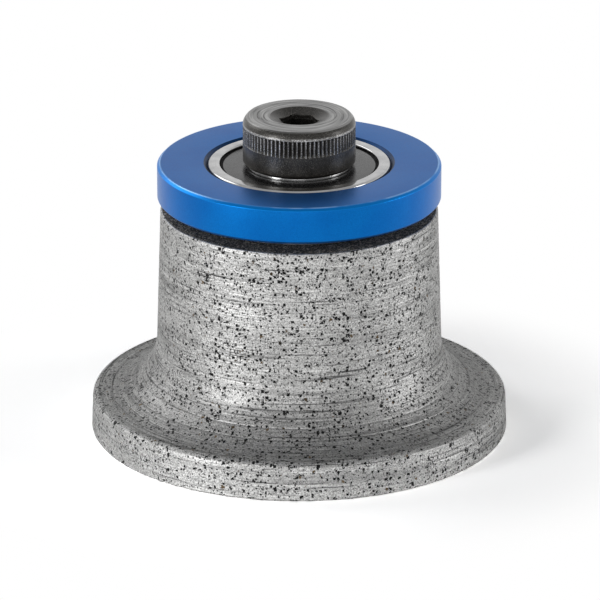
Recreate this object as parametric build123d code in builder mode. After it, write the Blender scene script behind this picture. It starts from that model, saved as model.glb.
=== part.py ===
from build123d import *
from math import acos, cos, degrees, pi, radians, sin, tan
import os

# Profile wheel for a stone router: a sintered diamond wheel with a cove on a steel core, and a
# blue guide ring that turns on a sealed ball bearing, held down by a knurled shoulder screw.
# Millimetres, +Z up. The origin is on the axis, on the underside that the wheel stands on.

# Wheel outline
wheel_diameter = 60.0
wheel_height = 33.0
rim_height = 5.55
rim_draft = 2.6
rim_round = 0.9
foot_chamfer = 0.3
cove_radius = 8.5
neck_top_diameter = 39.6
neck_draft = 1.9
neck_round = 0.3

# Diamond bond on its steel core
bond_depth = 4.0
core_flange_diameter = 48.0
underside_relief = 0.6
relief_border = 2.0
seat_face_diameter = 25.0

# Spindle thread, M14 x 2
spindle_thread = 14.0
spindle_pitch = 2.0
spindle_thread_depth = 11.5
spindle_mouth_chamfer = 1.3
spindle_relief_length = 2.0
spindle_relief_depth = 0.15

# Ball bearing, 10 x 26 x 8
bearing_bore = 10.0
bearing_outer_diameter = 26.0
bearing_width = 8.0
bearing_corner = 0.4
ball_count = 7
race_ease = 0.095
land_distance = 3.2
land_corner = 0.2
ball_clearance = 0.02

# Seals of the bearing
seal_seat_depth = 1.35
seal_ledge = 0.7
seal_groove_width = 0.45
seal_groove_depth = 0.2
seal_recess = 0.42
seal_thickness = 0.6
seal_ring_width = 0.45
seal_ring_drop = 0.35
seal_lip_width = 0.4
seal_lip_length = 0.45
seal_lip_clearance = 0.05

# Ribbon cage of the bearing
cage_land_gap = 0.55
cage_thickness = 0.35
cage_pocket_clearance = 0.06
cage_seal_gap = 0.1885
rivet_diameter = 0.8
rivet_head_diameter = 1.5
rivet_head_height = 0.3

# Guide ring and where it runs
guide_diameter = 40.4
guide_height = 5.3
guide_gap = 1.55
guide_chamfer = 0.4
guide_mouth_width = 0.56
guide_mouth_depth = 0.6
guide_proud = 0.03
pocket_clearance = 0.6
pocket_chamfer = 0.3
boss_setback = 0.5

# Shoulder screw
head_diameter = 16.0
head_height = 6.9
head_shoulder_width = 0.65
head_shoulder_height = 1.25
head_foot_chamfer = 0.4
knurl_teeth = 80
knurl_length = 2.5
knurl_depth = 0.28
knurl_land = 0.12
knurl_run_out = 0.3
socket_width = 5.0
socket_depth = 3.8
socket_turn = -10.0
socket_mouth_diameter = 8.3
socket_mouth_slope = 24.0
drill_point = 60.0
shoulder_length = 12.0
shoulder_chamfer = 0.3
shoulder_bore_fit = 0.02
shoulder_clearance = 0.04
shoulder_end_gap = 0.3
screw_thread = 8.0
screw_pitch = 1.25
screw_thread_length = 13.0
screw_end_chamfer = 0.8
screw_neck_length = 1.6
screw_neck_depth = 0.4
screw_thread_clearance = 0.02

# Levels along the axis, from the underside up
guide_bottom = wheel_height + guide_gap
guide_top = guide_bottom + guide_height
bearing_top = guide_top - guide_proud
bearing_bottom = bearing_top - bearing_width
bearing_middle = bearing_top - bearing_width / 2
pocket_floor = min(bearing_bottom - pocket_clearance, wheel_height)
head_top = bearing_top + head_height
shoulder_bottom = bearing_top - shoulder_length
screw_end = shoulder_bottom - screw_thread_length
spindle_hole_end = spindle_thread_depth + spindle_relief_length

# The balls are as large as the caged row that fits between the seals
seal_inside_reach = bearing_width / 2 - seal_recess - seal_thickness
pocket_radius = seal_inside_reach - cage_seal_gap - cage_thickness
ball_radius = pocket_radius - cage_pocket_clearance

# Radii that several pieces share
wheel_radius = wheel_diameter / 2
neck_top_radius = neck_top_diameter / 2
core_flange_radius = core_flange_diameter / 2
bearing_radius = bearing_outer_diameter / 2
ball_circle_radius = (bearing_bore / 2 + bearing_radius) / 2
race_radius = ball_radius + race_ease
inner_race_centre = ball_circle_radius - ball_radius - ball_clearance + race_radius
outer_race_centre = ball_circle_radius + ball_radius + ball_clearance - race_radius
inner_land_radius = ball_circle_radius - land_distance / 2
outer_land_radius = ball_circle_radius + land_distance / 2
seal_seat_radius = outer_land_radius + seal_ledge
seal_groove_radius = seal_seat_radius + seal_groove_depth
head_radius = head_diameter / 2
shoulder_radius = bearing_bore / 2 - shoulder_bore_fit

# An ISO thread is drawn as a plain wall. A tapped hole that takes a stranger's screw is drawn at
# its crests, and the screw that the wheel holds is drawn, like its hole, at the pitch diameter.
iso_thread_height = 1.0825
iso_pitch_line = 0.6495
spindle_hole_radius = (spindle_thread - iso_thread_height * spindle_pitch) / 2
screw_thread_radius = (screw_thread - iso_pitch_line * screw_pitch) / 2

# The cove is an arc that runs level into the rim's top and smoothly into the drafted neck
cove_centre_z = rim_height + cove_radius
neck_foot_radius = neck_top_radius + (wheel_height - cove_centre_z) * tan(radians(neck_draft))
cove_centre_r = neck_foot_radius + cove_radius / cos(radians(neck_draft))
rim_top_radius = wheel_radius - rim_height * tan(radians(rim_draft))

os.makedirs("parts", exist_ok=True)


def core_side():
    """Draw the joint between bond and core, upwards. It keeps the bond's depth all over."""
    core_arc_radius = cove_radius + bond_depth
    flange_angle = degrees(acos((cove_centre_r - core_flange_radius) / core_arc_radius))
    arc = CenterArc(
        (cove_centre_r, cove_centre_z), core_arc_radius, 180 + flange_angle, neck_draft - flange_angle
    )
    neck = Line(arc @ 1, (neck_top_radius - bond_depth / cos(radians(neck_draft)), wheel_height))
    return arc, neck


# Abrasive body: rim, cove and neck of sintered diamond bond, one ring round the core
with BuildPart() as abrasive_body:
    with BuildSketch(Plane.XZ) as bond_section:
        with BuildLine():
            core_arc, core_neck = core_side()
            cove = CenterArc((cove_centre_r, cove_centre_z), cove_radius, 270, neck_draft - 90)
            Line(cove @ 1, (neck_top_radius, wheel_height))
            Line((neck_top_radius, wheel_height), core_neck @ 1)
            Polyline(
                core_arc @ 0,
                (core_flange_radius, 0),
                (wheel_radius, 0),
                (rim_top_radius, rim_height),
                cove @ 0,
            )
        make_face()
        outline = bond_section.vertices()
        rim_edge = outline.sort_by_distance((rim_top_radius, 0, rim_height))[0]
        neck_edge = outline.sort_by_distance((neck_top_radius, 0, wheel_height))[0]
        foot_edge = outline.sort_by_distance((wheel_radius, 0, 0))[0]
        fillet(rim_edge, rim_round)
        fillet(neck_edge, neck_round)
        chamfer(foot_edge, foot_chamfer)
    revolve(axis=Axis.Z)

abrasive_body.part.label = "abrasive_body"
export_step(abrasive_body.part, "parts/abrasive_body.step")


# Hub core: turned steel, tapped from below for the spindle and from above for the screw, with
# a pocket that the turning half of the bearing dips into and a boss that its inner ring sits on
with BuildPart() as hub_core:
    with BuildSketch(Plane.XZ):
        with BuildLine():
            core_arc, core_neck = core_side()
            Polyline(
                core_neck @ 1,
                (0, wheel_height),
                (0, 0),
                (core_flange_radius, 0),
                core_arc @ 0,
            )
        make_face()
    revolve(axis=Axis.Z)
    with BuildSketch(Plane.XY):
        Circle(core_flange_radius - relief_border)
        Circle(seat_face_diameter / 2, mode=Mode.SUBTRACT)
    extrude(amount=underside_relief, mode=Mode.SUBTRACT)
    with BuildSketch(Plane.XY.offset(pocket_floor)):
        Circle(bearing_radius + pocket_clearance)
    extrude(amount=bearing_width, mode=Mode.SUBTRACT)
    top_edges = hub_core.edges().filter_by(GeomType.CIRCLE).group_by(Axis.Z)[-1].sort_by(SortBy.RADIUS)
    pocket_wall = top_edges[-1].radius - top_edges[0].radius
    chamfer(top_edges[0], min(pocket_chamfer, pocket_wall / 2))
    with BuildSketch(Plane.XY.offset(pocket_floor)):
        Circle(inner_land_radius - boss_setback)
    extrude(amount=bearing_bottom - pocket_floor)
    with BuildSketch(Plane.XZ):
        with BuildLine():
            Polyline(
                (0, 0),
                (spindle_hole_radius + spindle_mouth_chamfer, 0),
                (spindle_hole_radius, spindle_mouth_chamfer),
                (spindle_hole_radius, spindle_thread_depth),
                (spindle_thread / 2 + spindle_relief_depth, spindle_thread_depth),
                (spindle_thread / 2 + spindle_relief_depth, spindle_hole_end),
                (0, spindle_hole_end),
                close=True,
            )
        make_face()
    revolve(axis=Axis.Z, mode=Mode.SUBTRACT)
    with Locations((0, 0, bearing_bottom)):
        CounterBoreHole(
            radius=screw_thread_radius + screw_thread_clearance,
            counter_bore_radius=shoulder_radius + shoulder_clearance,
            counter_bore_depth=bearing_bottom - shoulder_bottom + shoulder_end_gap,
            depth=bearing_bottom - spindle_hole_end,
        )

hub_core.part.label = "hub_core"
export_step(hub_core.part, "parts/hub_core.step")


# One V groove of the knurl. Both ends rise to the surface in a three-cornered run-out.
knurl_pitch = pi * head_diameter / knurl_teeth
groove_half_width = (knurl_pitch - knurl_land) / 2
knurl_top = head_top - head_shoulder_height
knurl_bottom = knurl_top - knurl_length
groove_outside = head_radius + knurl_depth

with BuildPart() as knurl_groove:
    with BuildSketch(Plane.XY.offset(knurl_bottom - knurl_run_out)):
        with BuildLine():
            Polyline(
                (head_radius - knurl_depth, 0),
                (groove_outside, 2 * groove_half_width),
                (groove_outside, -2 * groove_half_width),
                close=True,
            )
        make_face()
    extrude(amount=knurl_length + 2 * knurl_run_out)
    with BuildSketch(Plane.XZ):
        with BuildLine():
            Polyline(
                (groove_outside, knurl_bottom - knurl_run_out),
                (head_radius - knurl_depth, knurl_bottom + knurl_run_out),
                (head_radius - knurl_depth, knurl_top - knurl_run_out),
                (groove_outside, knurl_top + knurl_run_out),
                close=True,
            )
        make_face()
    extrude(amount=knurl_pitch, both=True, mode=Mode.INTERSECT)


# Shoulder screw: knurled head with a hex socket, ground shoulder, necked and threaded end
screw_neck_radius = screw_thread_radius - screw_neck_depth
screw_neck_bottom = shoulder_bottom - screw_neck_length

with BuildPart() as shoulder_screw:
    with BuildSketch(Plane.XZ):
        with BuildLine():
            Polyline(
                (0, screw_end),
                (screw_thread_radius - screw_end_chamfer, screw_end),
                (screw_thread_radius, screw_end + screw_end_chamfer),
                (screw_thread_radius, screw_neck_bottom),
                (screw_neck_radius, screw_neck_bottom + screw_neck_depth),
                (screw_neck_radius, shoulder_bottom),
                (shoulder_radius - shoulder_chamfer, shoulder_bottom),
                (shoulder_radius, shoulder_bottom + shoulder_chamfer),
                (shoulder_radius, bearing_top),
                (head_radius - head_foot_chamfer, bearing_top),
                (head_radius, bearing_top + head_foot_chamfer),
                (head_radius, knurl_top),
            )
            shoulder = TangentArc(
                (head_radius, knurl_top), (head_radius - head_shoulder_width, head_top), tangent=(0, 1)
            )
            Polyline(shoulder @ 1, (0, head_top), (0, screw_end))
        make_face()
    revolve(axis=Axis.Z)
    with PolarLocations(0, knurl_teeth):
        add(knurl_groove.part, mode=Mode.SUBTRACT)
    with BuildSketch(Plane.XY.offset(head_top)):
        RegularPolygon(socket_width / 2, 6, major_radius=False, rotation=socket_turn)
    extrude(amount=-socket_depth, mode=Mode.SUBTRACT)
    with BuildSketch(Plane.XZ):
        with BuildLine():
            mouth_radius = socket_mouth_diameter / 2
            mouth_point = head_top - mouth_radius * tan(radians(socket_mouth_slope))
            Polyline((0, mouth_point), (mouth_radius, head_top), (0, head_top), close=True)
        make_face()
        with BuildLine():
            drill_radius = socket_width / 2
            drill_end = head_top - socket_depth - drill_radius / tan(radians(drill_point))
            Polyline(
                (0, drill_end),
                (drill_radius, head_top - socket_depth),
                (0, head_top - socket_depth),
                close=True,
            )
        make_face()
    revolve(axis=Axis.Z, mode=Mode.SUBTRACT)

shoulder_screw.part.label = "shoulder_screw"
export_step(shoulder_screw.part, "parts/shoulder_screw.step")


# Inner ring of the bearing: its land is level but for the ball groove
with BuildPart() as bearing_inner_ring:
    with BuildSketch(Plane.XZ) as inner_section:
        with Locations((bearing_bore / 2, bearing_bottom)):
            Rectangle(inner_land_radius - bearing_bore / 2, bearing_width, align=(Align.MIN, Align.MIN))
        chamfer(inner_section.vertices().group_by(Axis.X)[0], bearing_corner)
        chamfer(inner_section.vertices().group_by(Axis.X)[-1], land_corner)
        with Locations((inner_race_centre, bearing_middle)):
            Circle(race_radius, mode=Mode.SUBTRACT)
    revolve(axis=Axis.Z)

bearing_inner_ring.part.label = "bearing_inner_ring"
export_step(bearing_inner_ring.part, "parts/bearing_inner_ring.step")


# Outer ring of the bearing: each side has a stepped seat with a groove for the seal's bead
with BuildPart() as bearing_outer_ring:
    with BuildSketch(Plane.XZ) as outer_section:
        with Locations((outer_land_radius, bearing_bottom)):
            Rectangle(bearing_radius - outer_land_radius, bearing_width, align=(Align.MIN, Align.MIN))
        chamfer(outer_section.vertices().group_by(Axis.X)[-1], bearing_corner)
        with Locations((outer_land_radius, bearing_top), (outer_land_radius, bearing_bottom)):
            Rectangle(
                2 * (seal_seat_radius - outer_land_radius), 2 * seal_seat_depth, mode=Mode.SUBTRACT
            )
        groove_middle = bearing_width / 2 - seal_seat_depth + seal_groove_width / 2
        with Locations(
            (seal_groove_radius, bearing_middle + groove_middle),
            (seal_groove_radius, bearing_middle - groove_middle),
        ):
            Rectangle(
                2 * seal_groove_depth,
                seal_groove_width,
                align=(Align.MAX, Align.CENTER),
                mode=Mode.SUBTRACT,
            )
        with Locations((outer_race_centre, bearing_middle)):
            Circle(race_radius, mode=Mode.SUBTRACT)
    revolve(axis=Axis.Z)

bearing_outer_ring.part.label = "bearing_outer_ring"
export_step(bearing_outer_ring.part, "parts/bearing_outer_ring.step")


# Upper seal: a flat rubber ring, lower round its border, with a bead that snaps into the outer
# ring's groove and a lip that runs close to the inner ring
seal_face = bearing_top - seal_recess
seal_inside = bearing_middle + seal_inside_reach
seal_border_radius = seal_seat_radius - seal_ring_width
seal_lip_radius = inner_land_radius + seal_lip_clearance
seal_seat_level = bearing_top - seal_seat_depth

with BuildPart() as upper_seal:
    with BuildSketch(Plane.XZ):
        with BuildLine():
            Polyline(
                (seal_lip_radius, seal_inside - seal_lip_length),
                (seal_lip_radius, seal_face - seal_lip_width / 2),
                (seal_lip_radius + seal_lip_width / 2, seal_face),
                (seal_border_radius, seal_face),
                (seal_border_radius, seal_face - seal_ring_drop),
                (seal_seat_radius, seal_face - seal_ring_drop),
                (seal_seat_radius, seal_seat_level + seal_groove_width),
                (seal_groove_radius, seal_seat_level + seal_groove_width),
                (seal_groove_radius, seal_seat_level),
                (outer_land_radius, seal_seat_level),
                (outer_land_radius, seal_inside),
                (seal_lip_radius + seal_lip_width, seal_inside),
                close=True,
            )
        make_face()
    revolve(axis=Axis.Z)

upper_seal.part.label = "upper_seal"
export_step(upper_seal.part, "parts/upper_seal.step")


# Lower seal: the same ring on the bearing's other side
with BuildPart() as lower_seal:
    mirror(upper_seal.part, about=Plane.XY.offset(bearing_middle))

lower_seal.part.label = "lower_seal"
export_step(lower_seal.part, "parts/lower_seal.step")


# Guide ring: anodised aluminium, pressed on the bearing, with a countersunk upper mouth
with BuildPart() as guide_ring:
    with BuildSketch(Plane.XZ) as guide_section:
        with BuildLine():
            guide_radius = guide_diameter / 2
            Polyline(
                (bearing_radius, guide_bottom),
                (guide_radius, guide_bottom),
                (guide_radius, guide_top),
                (bearing_radius + guide_mouth_width, guide_top),
                (bearing_radius, guide_top - guide_mouth_depth),
                close=True,
            )
        make_face()
        chamfer(guide_section.vertices().group_by(Axis.X)[-1], guide_chamfer)
    revolve(axis=Axis.Z)

guide_ring.part.label = "guide_ring"
export_step(guide_ring.part, "parts/guide_ring.step")


# Upper cage half: a pressed ribbon with a round pocket over each ball and flats between them
cage_inner_radius = inner_land_radius + cage_land_gap
cage_outer_radius = outer_land_radius - cage_land_gap
rivet_circle_radius = (cage_inner_radius + cage_outer_radius) / 2
ball_pitch_angle = 360 / ball_count
middle_plane = Plane.XY.offset(bearing_middle)

with BuildPart() as cage_upper_half:
    with BuildSketch(middle_plane):
        Circle(cage_outer_radius)
    extrude(amount=cage_thickness)
    with Locations(middle_plane):
        with PolarLocations(ball_circle_radius, ball_count):
            Sphere(pocket_radius + cage_thickness)
    with BuildSketch(middle_plane):
        Circle(cage_outer_radius)
        Circle(cage_inner_radius, mode=Mode.SUBTRACT)
    extrude(amount=bearing_width / 2, mode=Mode.INTERSECT)
    with Locations(middle_plane):
        with PolarLocations(ball_circle_radius, ball_count):
            Sphere(pocket_radius, mode=Mode.SUBTRACT)
        with PolarLocations(rivet_circle_radius, ball_count, start_angle=ball_pitch_angle / 2):
            Cylinder(rivet_diameter / 2, 2 * cage_thickness, mode=Mode.SUBTRACT)

cage_upper_half.part.label = "cage_upper_half"
export_step(cage_upper_half.part, "parts/cage_upper_half.step")


# Lower cage half: the same ribbon turned over, flat against the upper one
with BuildPart() as cage_lower_half:
    mirror(cage_upper_half.part, about=middle_plane)

cage_lower_half.part.label = "cage_lower_half"
export_step(cage_lower_half.part, "parts/cage_lower_half.step")


# Cage rivets: one between each two balls, a shank with a low domed head on both sides
rivet_head_radius = rivet_head_diameter / 2
dome_radius = (rivet_head_radius**2 + rivet_head_height**2) / (2 * rivet_head_height)
rivet_top = cage_thickness + rivet_head_height

with BuildPart() as rivet:
    with BuildSketch(Plane.XZ):
        with BuildLine():
            RadiusArc((rivet_head_radius, cage_thickness), (0, rivet_top), -dome_radius)
            RadiusArc((rivet_head_radius, -cage_thickness), (0, -rivet_top), dome_radius)
            Line((0, rivet_top), (0, -rivet_top))
            Polyline(
                (rivet_head_radius, cage_thickness),
                (rivet_diameter / 2, cage_thickness),
                (rivet_diameter / 2, -cage_thickness),
                (rivet_head_radius, -cage_thickness),
            )
        make_face()
    revolve(axis=Axis.Z)

with BuildPart() as cage_rivets:
    with Locations(middle_plane):
        with PolarLocations(rivet_circle_radius, ball_count, start_angle=ball_pitch_angle / 2):
            add(rivet.part)

cage_rivets.part.label = "cage_rivets"
export_step(cage_rivets.part, "parts/cage_rivets.step")


# Balls: each in its cage pocket, clear of both races by the running clearance
for index in range(ball_count):
    ball_angle = radians(index * ball_pitch_angle)
    ball_centre = (
        ball_circle_radius * cos(ball_angle),
        ball_circle_radius * sin(ball_angle),
        bearing_middle,
    )
    with BuildPart(Plane(origin=ball_centre)) as ball:
        Sphere(ball_radius)
    ball.part.label = f"ball_{index + 1}"
    export_step(ball.part, f"parts/ball_{index + 1}.step")
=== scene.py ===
import math

import bpy
import numpy as np
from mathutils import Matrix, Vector


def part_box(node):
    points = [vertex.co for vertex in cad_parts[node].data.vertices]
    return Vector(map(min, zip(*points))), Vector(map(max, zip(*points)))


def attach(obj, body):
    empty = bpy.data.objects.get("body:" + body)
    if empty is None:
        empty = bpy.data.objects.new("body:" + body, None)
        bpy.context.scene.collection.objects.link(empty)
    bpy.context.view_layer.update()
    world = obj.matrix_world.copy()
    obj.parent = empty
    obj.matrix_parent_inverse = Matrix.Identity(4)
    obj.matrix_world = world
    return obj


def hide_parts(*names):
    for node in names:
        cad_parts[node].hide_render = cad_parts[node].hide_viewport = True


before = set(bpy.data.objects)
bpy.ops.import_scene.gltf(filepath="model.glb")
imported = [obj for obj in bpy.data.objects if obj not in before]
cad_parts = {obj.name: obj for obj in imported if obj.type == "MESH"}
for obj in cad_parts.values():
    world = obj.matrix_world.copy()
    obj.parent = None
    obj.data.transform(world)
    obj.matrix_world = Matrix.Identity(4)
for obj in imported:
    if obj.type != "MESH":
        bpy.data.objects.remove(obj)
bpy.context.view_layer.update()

# Profile wheel for a stone router: a sintered diamond wheel on a steel core, a blue guide ring on a
# sealed ball bearing, and a black shoulder screw. Sizes are in millimetres and MM turns them into
# the scene's metres. The wheel's axis is the scene's Z, and it stands on z = 0.
MM = 0.001
SEED = 7

# Places that the frame gives
WHEEL_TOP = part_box("abrasive_body")[1].z / MM
GUIDE_LOW, GUIDE_HIGH = (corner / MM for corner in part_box("guide_ring"))
BEARING_LOW, BEARING_HIGH = (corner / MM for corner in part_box("bearing_outer_ring"))
SEAL_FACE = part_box("upper_seal")[1].z / MM
LOWER_SEAL_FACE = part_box("lower_seal")[0].z / MM
SCREW_LOW, SCREW_HIGH = (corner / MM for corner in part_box("shoulder_screw"))
GUIDE_RADIUS = GUIDE_HIGH.x
BEARING_RADIUS = BEARING_HIGH.x
BEARING_TOP = BEARING_HIGH.z
BEARING_BOTTOM = BEARING_LOW.z
BEARING_MIDDLE = (BEARING_TOP + BEARING_BOTTOM) / 2
INNER_LAND_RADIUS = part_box("bearing_inner_ring")[1].x / MM
HEAD_RADIUS = SCREW_HIGH.x
HEAD_TOP = SCREW_HIGH.z
SCREW_END = SCREW_LOW.z

# Wheel outline
WHEEL_RADIUS = 30.0
RIM_HEIGHT = 5.55
RIM_DRAFT = math.radians(2.6)
RIM_ROUND = 0.9
FOOT_CHAMFER = 0.3
COVE_RADIUS = 8.5
NECK_TOP_RADIUS = 19.8
NECK_DRAFT = math.radians(1.9)
NECK_ROUND = 0.3
BOND_DEPTH = 4.0
CORE_FLANGE_RADIUS = 24.0

# Marks of turning in the bond. Each kind has a count, then its ranges: the width, the depth, where
# less than 0 cuts in, and the angle that a mark reaches to each side of its middle, in radians.
TURNING_MARKS = [
    (700, (0.07, 0.12), (-0.021, 0.010), (0.3, 3.2)),
    (84, (0.07, 0.12), (-0.045, -0.016), (0.5, 4.5)),
    (36, (0.08, 0.13), (0.006, 0.014), (0.3, 2.0)),
]
MARK_CLIMB = 0.12
MARK_FADE_SHARE = 0.35
RELIEF_OFFSET = 0.02
RELIEF_FADE = 0.4

# Underside and hole of the core
UNDERSIDE_RELIEF = 0.6
RELIEF_OUTER_RADIUS = 22.0
RELIEF_ROUND = 0.2
SEAT_FACE_RADIUS = 12.5
SEAT_EDGE_ROUND = 0.08
SPINDLE_HOLE_RADIUS = 5.9175
SPINDLE_PITCH = 2.0
SPINDLE_THREAD_DEPTH = 11.5
SPINDLE_MOUTH_CHAMFER = 1.3
SPINDLE_RELIEF_RADIUS = 7.15
SPINDLE_HOLE_END = 13.5
POCKET_RADIUS = 13.6
POCKET_CHAMFER = 0.3
POCKET_ROUND = 0.15
POCKET_FLOOR = BEARING_BOTTOM - 0.6
BOSS_RADIUS = 6.9

# Head of the shoulder screw
HEAD_SHOULDER_WIDTH = 0.65
HEAD_SHOULDER_HEIGHT = 1.25
HEAD_FOOT_CHAMFER = 0.4
HEAD_FOOT_ROUND = 0.06
HEAD_SIDE_ROUND = 0.12
KNURL_TEETH = 80
KNURL_TOP = HEAD_TOP - HEAD_SHOULDER_HEIGHT
KNURL_LENGTH = 2.5
KNURL_DEPTH = 0.28
KNURL_LAND = 0.12
KNURL_RUN_OUT = 0.3
SOCKET_WIDTH = 5.0
SOCKET_DEPTH = 3.8
SOCKET_TURN = math.radians(-10)
SOCKET_CORNER = 0.05
SOCKET_MOUTH_RADIUS = 4.15
SOCKET_MOUTH_SLOPE = math.radians(24)
SOCKET_MOUTH_ROUND = 0.06
DRILL_POINT = math.radians(60)

# Shank of the shoulder screw
SHOULDER_RADIUS = 4.98
SHOULDER_BOTTOM = BEARING_TOP - 12.0
SHOULDER_CLEARANCE = 0.04
SHOULDER_END_GAP = 0.3
SHOULDER_CHAMFER = 0.3
SHOULDER_END_ROUND = 0.05
SHOULDER_SIDE_ROUND = 0.1
SCREW_RADIUS = 4.0
SCREW_THREAD_RADIUS = 3.594
SCREW_THREAD_CLEARANCE = 0.02
SCREW_THREAD_PLAY = 0.03
SCREW_PITCH = 1.25
SCREW_END_CHAMFER = 0.8
SCREW_NECK_LENGTH = 1.6
SCREW_NECK_RADIUS = 3.194
SCREW_NECK_ROUND = 0.2

# Depth of an ISO thread in a bolt and in a nut, and the flats of its wall, as shares of its pitch
BOLT_THREAD_SHARE = 0.6134
NUT_THREAD_SHARE = 0.5413
THREAD_FLAT = 1 / 8

# Bearing
BEARING_BORE_RADIUS = 5.0
BEARING_CORNER = 0.4
BEARING_INNER_EDGE = 0.18
INNER_LAND_ROUND = 0.2
BALL_RADIUS = 2.3815
BALL_CIRCLE_RADIUS = 9.0
BALL_CLEARANCE = 0.02
RACE_RADIUS = BALL_RADIUS + 0.095
SEAL_SEAT_RADIUS = 11.3
SEAL_SEAT_DEPTH = 1.35
SEAL_LEDGE = 0.7
SEAL_GROOVE_WIDTH = 0.45
SEAL_GROOVE_DEPTH = 0.2
SEAL_THICKNESS = 0.6
SEAL_ROUND = 0.08
SEAL_RING_WIDTH = 0.45
SEAL_RING_DROP = 0.35
SEAL_RING_ROUND = 0.06
SEAL_LIP_WIDTH = 0.4
SEAL_LIP_LENGTH = 0.45
SEAL_LIP_CLEARANCE = 0.05
SEAL_LIP_ROUND = 0.05

# Guide ring
GUIDE_CHAMFER = 0.4
GUIDE_SIDE_ROUND = 0.10
GUIDE_FLAT_ROUND = 0.08
GUIDE_BORE_ROUND = 0.06
GUIDE_MOUTH_WIDTH = 0.56
GUIDE_MOUTH_DEPTH = 0.6
GUIDE_MOUTH_ROUND = 0.05

# How finely the pieces are drawn
ROUND_STEPS = 5
BODY_SEGMENTS = 212
BODY_STEP = 0.102
COVE_STEPS = 60
END_STEPS = 4
CORE_STEPS = 14
CORE_SEGMENTS = 144
UNDERSIDE_STEP = 0.3
THREAD_STEP = 0.085
HEAD_STEP = 0.4
HEAD_SHOULDER_STEPS = 12
KNURL_SAMPLES = 10
KNURL_RINGS = 25
SHANK_SHARE = 8
RACE_STEPS = 16
RING_SEGMENTS = 288
SHARP_ANGLE = 32.0
SCREW_SHARP_ANGLE = 30.0

# Shares at which rings lie: along the socket's mouth, down its wall and of its drilled end's radius
MOUTH_SHARES = (0.35, 0.7, 0.97)
WALL_SHARES = (0.3, 0.6, 0.97)
POINT_SHARES = (0.75, 0.5, 0.25)

# Grains in the bond: the spacing, then the smallest and largest reach of a grain from its middle.
# A grain's edge is in shares of the spacing.
COARSE_GRIT = (0.60, 0.06, 0.22)
FINE_GRIT = (0.36, 0.0, 0.12)
GRAIN_EDGE = (-0.02, 0.05)

# The bond: its share of bare metal, the size of its crystals, the height of its roughness, and how
# far up the cove, and how much, painted shade darkens it
BOND_METAL = 0.78
BOND_CRYSTAL = 0.14
BOND_BUMP = 0.05
FOOT_SHADE_REACH = 10.0
FOOT_SHADE_SHARE = 0.32

# Colours of the bond
CRYSTAL_DULL = (0.15, 0.150, 0.148)
CRYSTAL_BRIGHT = (0.84, 0.838, 0.831)
BOND_DUST = (0.62, 0.617, 0.60)
BOND_CLOUD = (0.34, 0.34, 0.335)
BOND_BAND = (0.17, 0.17, 0.168)
BOND_LINE_DARK = (0.07, 0.07, 0.07)
BOND_LINE_LIGHT = (0.92, 0.917, 0.905)
# Painted shade on the flange and at the foot of the cove
FOOT_SHADE_COLOUR = (0.10, 0.10, 0.10)
GRAIN_BLACK = (0.010, 0.010, 0.010)
GRAIN_BROWN = (0.17, 0.12, 0.07)
END_BLACK = (0.030, 0.026, 0.020)
END_DUST = (0.62, 0.56, 0.46)
END_PATCH = (0.034, 0.030, 0.024)

# Colours of the blue oxide
BLUE_LOW = (0.0006, 0.118, 0.42)
BLUE_HIGH = (0.0015, 0.152, 0.50)
BLUE_CRYSTAL = (0.002, 0.175, 0.57)
BLUE_CLOUD = (0.0005, 0.078, 0.36)
# Painted shade in the recess, a painted highlight on the chamfer and one along the flat's edge
BLUE_RECESS_SHADE = (0.002, 0.006, 0.02)
BLUE_CHAMFER_HIGHLIGHT = (0.004, 0.22, 0.68)
BLUE_EDGE_HIGHLIGHT = (0.30, 0.55, 0.90)
ETCH_CRYSTAL = 0.16

# Colours of the bearing
GROUND_DARK = (0.46, 0.46, 0.465)
GROUND_LIGHT = (0.60, 0.60, 0.60)
GROUND_LINE = (0.30, 0.30, 0.305)
# Painted shade on the inner ring
GROUND_INNER_SHADE = (0.12, 0.118, 0.114)
RUBBER_DARK = (0.010, 0.010, 0.011)
RUBBER_LIGHT = (0.022, 0.022, 0.023)
# Painted shade in the groove at the seal's border
RUBBER_GROOVE_SHADE = (0.003, 0.003, 0.003)

# Colours of the black screw
OXIDE_DARK = (0.014, 0.0125, 0.010)
OXIDE_LIGHT = (0.034, 0.031, 0.027)
OXIDE_SPECK = (0.15, 0.143, 0.130)
# Painted sheen on the flat
OXIDE_FLAT_SHEEN = (0.35, 0.348, 0.344)
OXIDE_LINE_DARK = (0.010, 0.010, 0.010)
OXIDE_LINE_LIGHT = (0.50, 0.498, 0.492)
# Painted highlights along the edges and on the knurl's lands
OXIDE_EDGE_HIGHLIGHT = (0.26, 0.258, 0.254)
OXIDE_LAND_HIGHLIGHT = (0.62, 0.616, 0.61)

# Light and dark colours of the plain steels
HUB_STEEL = ((0.50, 0.495, 0.485), (0.38, 0.375, 0.37))
CAGE_STEEL = ((0.58, 0.57, 0.54), (0.46, 0.45, 0.43))
BALL_STEEL = ((0.72, 0.72, 0.72), (0.66, 0.66, 0.66))

# Camera, from the ellipses of the photograph
CAMERA_BACK = 693.9
CAMERA_HEIGHT = 278.07
CAMERA_TILT = 0.3575
CAMERA_LENS = 309.9
CAMERA_SENSOR = 36.0
CAMERA_SHIFT = 0.0013
CAMERA_NEAR = 0.05

# The room as shiny surfaces see it: a glow all round, and a backdrop that adds to it low down and
# behind the wheel. Directions run from -1 to 1.
CEILING_GLOW = 0.52
BACKDROP_GLOW = 0.32
BACKDROP_TO = 0.35
CEILING_FROM = 0.85
FRONT_TO = -0.5
BEHIND_FROM = 0.35
FRONT_SHARE = 0.1

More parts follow.
